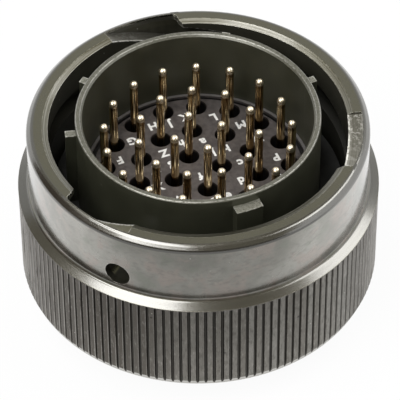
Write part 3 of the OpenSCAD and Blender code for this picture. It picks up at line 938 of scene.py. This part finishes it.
def empty_material(name):
    """A new material with nothing in its tree."""
    material = bpy.data.materials.new(name)
    material.use_nodes = True
    material.node_tree.nodes.clear()
    return material, material.node_tree


def seen_directly(tree):
    """1 for rays that show the background itself: camera, reflection and transmission rays."""
    rays = put(tree, "ShaderNodeLightPath").outputs
    return any_of(tree, rays["Is Camera Ray"], rays["Is Glossy Ray"], rays["Is Transmission Ray"])


def make_floor():
    material, tree = empty_material("studio_floor")
    paper = put(tree, "ShaderNodeBsdfDiffuse", PAPER)
    glow = put(tree, "ShaderNodeEmission", WHITE, 1.0)
    share = calc(tree, "MULTIPLY", seen_directly(tree), FLOOR_GLOW)
    both = put(tree, "ShaderNodeMixShader", share, paper.outputs[0], glow.outputs[0])
    put(tree, "ShaderNodeOutputMaterial", both.outputs[0])
    mesh = bmesh.new()
    bmesh.ops.create_grid(mesh, x_segments=1, y_segments=1, size=FLOOR_SIZE / 2)
    floor = add_object("studio_floor", mesh, material)


def make_world():
    world = bpy.data.worlds.new("white_studio")
    world.use_nodes = True
    tree = world.node_tree
    tree.nodes.clear()
    ambient = put(tree, "ShaderNodeBackground", WHITE, AMBIENT)
    white = put(tree, "ShaderNodeBackground", WHITE, 1.0)
    both = put(tree, "ShaderNodeMixShader", seen_directly(tree), ambient.outputs[0], white.outputs[0])
    put(tree, "ShaderNodeOutputWorld", both.outputs[0])
    bpy.context.scene.world = world


make_floor()
make_world()
bpy.context.scene.view_settings.view_transform = "Standard"
print(f"floor {FLOOR_SIZE} m wide, world at {AMBIENT} where it lights the part")

# %% [markdown]
# ## Lamps
#
# Large panels hang overhead, with a dark gap between left and right that the plating mirrors.
# Small lamps would give sharp points of light instead. Each panel is placed by its four sides, as
# the camera sees them, because that is how its reflection is found in the photograph.

# %% Hang the panels
PANEL_HEIGHT = 0.8


def room_axes():
    """Turns directions as the camera sees them, to the right, away from it and up, into the room's."""
    return Matrix.Rotation(LOOK_FROM + math.pi / 2, 4, "Z")


def make_panel(name, brightness, left, right, near, far):
    """A flat area lamp overhead that shines straight down. Its sides are measured from the axis."""
    lamp = bpy.data.lights.new(name, "AREA")
    lamp.shape = "RECTANGLE"
    lamp.size, lamp.size_y = right - left, far - near
    lamp.energy = brightness * math.pi * lamp.size * lamp.size_y
    panel = bpy.data.objects.new(name, lamp)
    panel.visible_camera = False
    middle = Vector(((left + right) / 2, (near + far) / 2, PANEL_HEIGHT))
    panel.matrix_world = room_axes() @ Matrix.Translation(middle)
    bpy.context.scene.collection.objects.link(panel)
    print(f"{name}: {lamp.energy:.1f} W")


make_panel("left_panel", 4.8, -0.40, -0.07, -0.80, 0.27)
make_panel("front_left_panel", 4.8, -0.80, -0.40, -0.80, -0.12)
make_panel("right_panel", 3.4, 0.42, 1.00, -0.28, 0.65)

# %% [markdown]
# ## The room that the plating mirrors
#
# The ceiling, the backdrop and the dark rest of the room show only as reflections. A whole room
# could be modelled, but its walls would also throw light back on the part. So these are plain
# cards that only reflections see, none brighter than white.

# %% Set up the cards
def make_glow(name, tone):
    """A material that shines by itself, its tree, and the node that shines."""
    material, tree = empty_material(name)
    glow = put(tree, "ShaderNodeEmission", tone)
    put(tree, "ShaderNodeOutputMaterial", glow.outputs[0])
    return material, tree, glow


def show_to_reflections(name, mesh, material):
    """Makes a part of the room that only reflections see."""
    card = add_object(name, mesh, material)
    card.visible_camera = card.visible_diffuse = card.visible_shadow = False
    print(f"{name}: seen by reflections only")


def make_card(name, tone, centre, half_wide, half_high):
    """A plain card, from its middle and two half sides."""
    mesh = bmesh.new()
    bmesh.ops.create_grid(mesh, x_segments=1, y_segments=1, size=1.0)
    wide, high = Vector(half_wide), Vector(half_high)
    shape = Matrix((wide, high, wide.cross(high))).transposed().to_4x4()
    bmesh.ops.transform(mesh, matrix=room_axes() @ Matrix.Translation(centre) @ shape, verts=mesh.verts)
    show_to_reflections(name, mesh, make_glow(name, (*tone, 1.0))[0])


make_card("ceiling", (0.28, 0.26, 0.20), (0, 0, 1.2), (1.6, 0, 0), (0, 1.6, 0))
make_card("backdrop", (0.6, 0.6, 0.58), (0, 1.0, 1.0), (1.6, 0, 0), (0, 0, 0.55))
make_card("room_behind_camera", (0.15, 0.14, 0.12), (0, -1.5, 0.55), (2.0, 0, 0), (0, 0, 0.65))
make_card("room_on_the_left", (0.15, 0.125, 0.10), (-1.6, -0.35, 0.6), (0, 1.15, 0), (0, 0, 0.6))

# %% [markdown]
# ## The table in the reflections
#
# The lower half of the ring mirrors the table, which is shaded on the camera's side. The floor
# itself could be painted so, but the camera would see it. So a flat ring round the part, just above
# the floor, shows the shade to reflections alone.

# %% Lay the table's card
TABLE_SHADE, TABLE_NEAR, TABLE_FAR = 0.52, -0.040, -0.010
TABLE_INNER_R, TABLE_OUTER_R, TABLE_LIFT = 0.030, 0.60, 0.0005
TABLE_SEGMENTS = 96


def make_table():
    """The table as a flat ring round the part, white behind it and shaded towards the camera."""
    material, tree, glow = make_glow("table_round_part", WHITE)
    away = room_axes().to_3x3() @ Vector((0, 1, 0))
    place = put(tree, "ShaderNodeTexCoord").outputs["Object"]
    distance = put(tree, "ShaderNodeVectorMath", place, away, operation="DOT_PRODUCT").outputs["Value"]
    shade = put(tree, "ShaderNodeMapRange", distance, TABLE_NEAR, TABLE_FAR, TABLE_SHADE, 1.0,
                interpolation_type="SMOOTHSTEP")
    connect(tree, shade.outputs["Result"], glow.inputs["Strength"])
    mesh = bmesh.new()
    bmesh.ops.create_circle(mesh, segments=TABLE_SEGMENTS, radius=TABLE_INNER_R)
    outward = bmesh.ops.extrude_edge_only(mesh, edges=mesh.edges[:])["geom"]
    rim = [corner for corner in outward if isinstance(corner, bmesh.types.BMVert)]
    bmesh.ops.scale(mesh, vec=(TABLE_OUTER_R / TABLE_INNER_R,) * 3, verts=rim)
    bmesh.ops.translate(mesh, vec=(0, 0, TABLE_LIFT), verts=mesh.verts)
    show_to_reflections("table_round_part", mesh, material)


make_table()

# %% [markdown]
